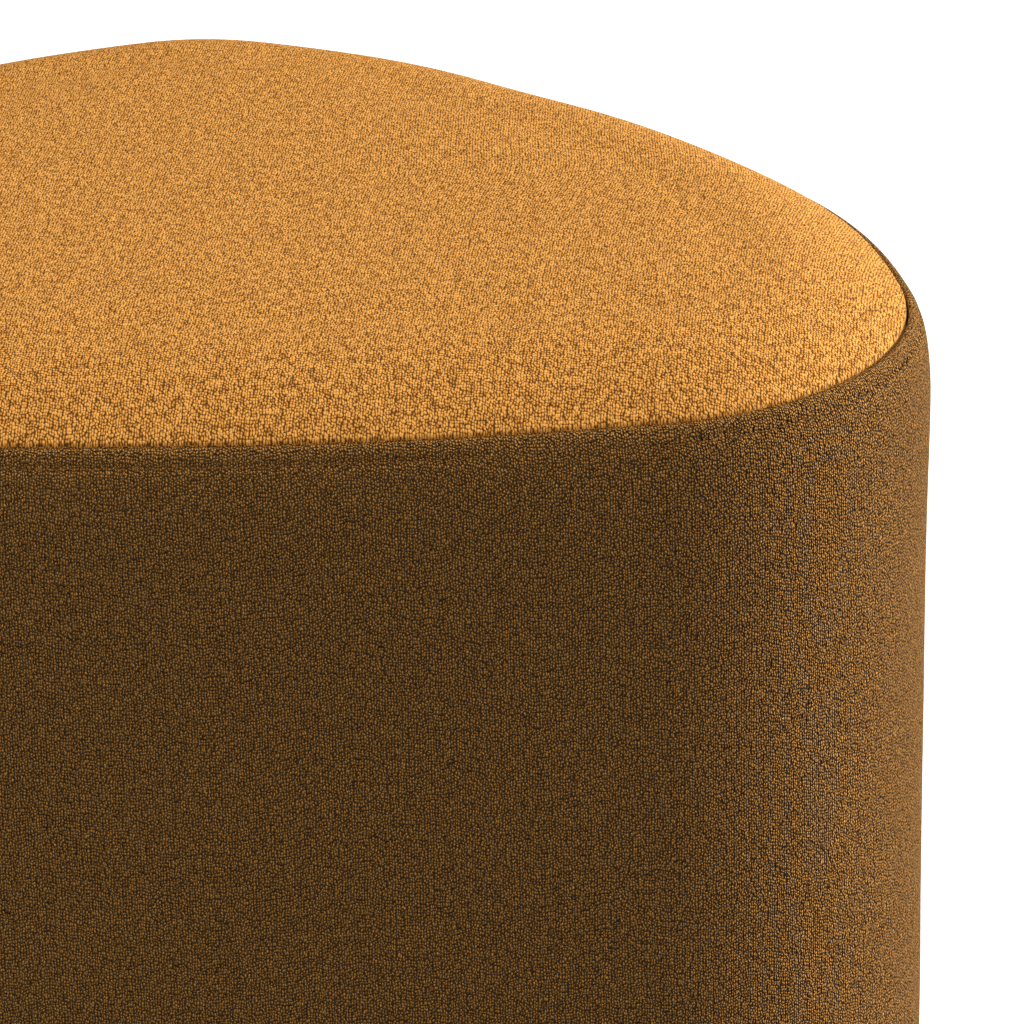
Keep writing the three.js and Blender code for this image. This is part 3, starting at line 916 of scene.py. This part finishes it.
def makeFeet(plastic):
    nodes = ["foot_" + corner for corner in cornerNames]
    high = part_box(nodes[0])[1].z
    bore = footShape["bore"]
    outside = [*footShape["sole"], *footShape["side"], *footShape["groove"]]
    profile = [(bore, high), *footShape["recess"], *outside]
    profile += [(footShape["topRadius"], high), (bore, high)]
    bm = bmesh.new()
    for node in nodes:
        turnedPiece(bm, profile, middleOf(node), footShape["steps"])
    bmesh.ops.remove_doubles(bm, verts=bm.verts, dist=1e-6)
    bmesh.ops.recalc_face_normals(bm, faces=bm.faces)
    finishPiece("feet", bm, "base", plastic, nodes)


# ---- Staples: a flat wire crown lying on the cloth it holds ----
stapleShape = {
    "size": (0.0011, 0.0100, 0.0006),
    "round": 0.0002,
    "proud": 0.0002,
    "rimInset": 0.038,
    "rimPitch": 0.030,
    "dustInset": 0.0235,
    "lidInset": 0.0445,
    "clothPitch": 0.045,
}


def makeStaples(name, body, steel, inset, height, pitch):
    count = round(outlineLength / pitch)
    size = Matrix.Diagonal((*stapleShape["size"], 1))
    settings = {"offset": stapleShape["round"], "affect": "EDGES", "segments": 1}
    settings.update({"profile": 0.5, "material": -1})
    bm = bmesh.new()
    for place in range(count):
        spot, angle = spotAlong((place + 0.5) * outlineLength / count, inset, height)
        lay = Matrix.Translation(spot) @ Matrix.Rotation(angle, 4, "Z") @ size
        made = bmesh.ops.create_cube(bm, size=1, matrix=lay)
        edges = {edge for vert in made["verts"] for edge in vert.link_edges}
        bmesh.ops.bevel(bm, geom=list(edges), **settings)
    finishPiece(name, bm, body, steel, smooth=False)


# ---- Pull tab: a ribbon out of the parting line at the back, lying over the shoulder ----
tabShape = {
    "width": 0.026,
    "thickness": 0.0006,
    "strips": 13,
    "gapInset": 0.0006,  # its place in the gap, from the lid's side
    "gapTop": 0.009,
    "drops": (0.0003, 0.001, 0.002, 0.0035, 0.0055, 0.008, 0.011, 0.0145, 0.0185, 0.0225, 0.0265),
    "offShoulder": 0.0011,
    "overShoulder": 0.0004,
}


def tabPath():
    inGap = lidInset - tabShape["gapInset"]
    over = [(lidInset - 0.0007, partingHeight - 0.0006), (lidInset - 0.0012, partingHeight + 0.0007)]
    over.append((sideShape["lip"] - 0.0008, partingHeight + 0.0010))
    for drop in tabShape["drops"]:
        height = partingHeight - drop
        inset = shoulderInset(height) - tabShape["offShoulder"]
        over.append((inset, height + tabShape["overShoulder"]))
    path = [(inGap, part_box("pull_tab")[0].z + 0.0005), (inGap, partingHeight - tabShape["gapTop"])]
    return path + [(inset, height - lipDropAt(height, math.pi / 2)) for inset, height in over]


def makePullTab(ribbon):
    backMiddle = plan["depth"] / 2
    path = tabPath()
    bm = bmesh.new()
    start = -tabShape["width"] / 2
    verts = [bm.verts.new((start, backMiddle - inset, height)) for inset, height in path]
    edges = [bm.edges.new(pair) for pair in zip(verts, verts[1:])]
    stride = Vector((tabShape["width"] / tabShape["strips"], 0, 0))
    for _ in range(tabShape["strips"]):
        grown = bmesh.ops.extrude_edge_only(bm, edges=edges)["geom"]
        moved = [part for part in grown if isinstance(part, bmesh.types.BMVert)]
        edges = [part for part in grown if isinstance(part, bmesh.types.BMEdge) and part.is_boundary]
        edges = [edge for edge in edges if all(vert in moved for vert in edge.verts)]
        bmesh.ops.translate(bm, verts=moved, vec=stride)
    for vert in bm.verts:  # it bends with the round back
        radius = plan["backRadius"] - backMiddle + vert.co.y
        vert.co.y -= radius - math.sqrt(radius**2 - vert.co.x**2)
    clothMap = bm.loops.layers.uv.new("cloth")
    for face in bm.faces:
        for loop in face.loops:
            loop[clothMap].uv = (loop.vert.co.x, loop.vert.co.z)
    bmesh.ops.recalc_face_normals(bm, faces=bm.faces)
    bmesh.ops.solidify(bm, geom=bm.faces, thickness=tabShape["thickness"])
    piece = finishPiece("pull_tab_ribbon", bm, "lid", ribbon, ["pull_tab"])


# ---- Camera, floor and light ----
view = {
    "aim": (0.130, -0.225, 0.375),
    "pitch": 23.03,
    "turn": 1.31,
    "roll": -0.94,
    "distance": 2.248,
    "lens": 221.5,
    "sensor": 36,
    "farthest": 50,
}


def makeCamera():
    data = bpy.data.cameras.new("camera")
    data.lens = view["lens"]
    data.sensor_width = view["sensor"]
    data.clip_end = view["farthest"]
    camera = bpy.data.objects.new("camera", data)
    bpy.context.scene.collection.objects.link(camera)
    turn = Matrix.Rotation(math.radians(view["turn"]), 4, "Z")
    tilt = Matrix.Rotation(math.radians(90 - view["pitch"]), 4, "X")
    roll = Matrix.Rotation(math.radians(view["roll"]), 4, "Z")
    back = Matrix.Translation((0, 0, view["distance"]))
    camera.matrix_world = turn @ Matrix.Translation(view["aim"]) @ tilt @ roll @ back
    bpy.context.scene.camera = camera


floorLook = {"reach": 12, "tone": (0.86, 0.86, 0.86, 1), "glow": 0.3}


def makeFloor():
    bm = bmesh.new()
    bmesh.ops.create_grid(bm, x_segments=2, y_segments=2, size=floorLook["reach"])
    mesh = bpy.data.meshes.new("floor")
    bm.to_mesh(mesh)
    bm.free()
    floor = bpy.data.objects.new("floor", mesh)
    bpy.context.scene.collection.objects.link(floor)
    material, _, surface = newMaterial("pale_floor", 0.9)
    surface.inputs["Base Color"].default_value = floorLook["tone"]
    surface.inputs["Emission Color"].default_value = (1, 1, 1, 1)
    surface.inputs["Emission Strength"].default_value = floorLook["glow"]
    mesh.materials.append(material)
    floor.visible_diffuse = False


def addLight(name, kind, energy, place, aim, **settings):
    data = bpy.data.lights.new(name, kind)
    data.energy = energy
    for key, value in settings.items():
        setattr(data, key, value)
    light = bpy.data.objects.new(name, data)
    light.location = place
    light.rotation_euler = (Vector(aim) - Vector(place)).to_track_quat("-Z", "Y").to_euler()
    bpy.context.scene.collection.objects.link(light)


studio = {
    "topPower": 3.2,
    "topFrom": (0.2, 0.5, 3),
    "topAim": (0, 0, 0.4),
    "topSpread": 85,  # degrees
    "sidePower": 58,
    "sideFrom": (1.8, 0.35, 0.36),
    "sideAim": (0.25, 0, 0.3),
    "sideSize": 1.0,
    "fillPower": 12,
    "fillFrom": (-0.6, -2.4, 0.9),
    "fillAim": (0, 0, 0.25),
    "fillSize": 1.6,
    "around": 0.22,
}


def makeLights():
    spread = math.radians(studio["topSpread"])
    addLight("top_light", "SUN", studio["topPower"], studio["topFrom"], studio["topAim"], angle=spread)
    size = studio["sideSize"]
    addLight("side_light", "AREA", studio["sidePower"], studio["sideFrom"], studio["sideAim"], size=size)
    size = studio["fillSize"]
    addLight("front_fill", "AREA", studio["fillPower"], studio["fillFrom"], studio["fillAim"], size=size)
    world = bpy.data.worlds.new("studio")
    world.use_nodes = True
    background = world.node_tree.nodes["Background"]
    background.inputs[0].default_value = (1, 1, 1, 1)
    background.inputs[1].default_value = studio["around"]
    bpy.context.scene.world = world
    bpy.context.scene.view_settings.view_transform = "Standard"


makeCamera()
makeFloor()
makeLights()
plywood = makePlywood()
foamCloth = makeFoam()
bonded = makeBonded()
steel = makeSteel()
plastic = makePlastic()
woven = makeWoven("lining_weave", liningWeave)
makeSideCover(makeBoucle("side_boucle", sideWeave))
makeTopstitch(makeThread())
print("side cover made")
makeLidCover(makeBoucle("top_boucle", topWeave))
print("lid cover made")
makeSidePad(foamCloth)
makeLidPad("lid_wadding", "lid_wadding_layer", makeWadding())
makeLidPad("lid_foam", "lid_foam_pad", foamCloth)
print("padding made")
makeLining(woven)
makeSlab("key_board", "key_board_panel", "lid", plywood, boardShape["keyEdge"])
makeStretchedCloth("lid_lining", "lid_lining_cloth", "lid", bonded)
makeStretchedCloth("dust_cover", "dust_cover_cloth", "base", bonded)
print("linings made")
keyScrews = ["key_screw_" + corner for corner in cornerNames]
footScrews = ["foot_screw_" + corner for corner in cornerNames]
makeScrews("key_screws", keyScrews, screwShape["keyLength"], "lid", steel)
makeScrews("foot_screws", footScrews, screwShape["footLength"], "base", steel)
makeFeet(plastic)
rimLevel = flangeTop + stapleShape["proud"]
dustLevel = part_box("dust_cover")[0].z - stapleShape["proud"]
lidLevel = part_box("lid_lining")[0].z - stapleShape["proud"]
clothPitch = stapleShape["clothPitch"]
makeStaples("rim_staples", "base", steel, stapleShape["rimInset"], rimLevel, stapleShape["rimPitch"])
makeStaples("dust_staples", "base", steel, stapleShape["dustInset"], dustLevel, clothPitch)
makeStaples("lid_staples", "lid", steel, stapleShape["lidInset"], lidLevel, clothPitch)
makePullTab(makeWoven("ribbon_weave", ribbonWeave))
print("fittings made")
for name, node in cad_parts.items():
    finish = steel if "screw" in name else plywood
    for slot in node.material_slots:
        slot.material = finish
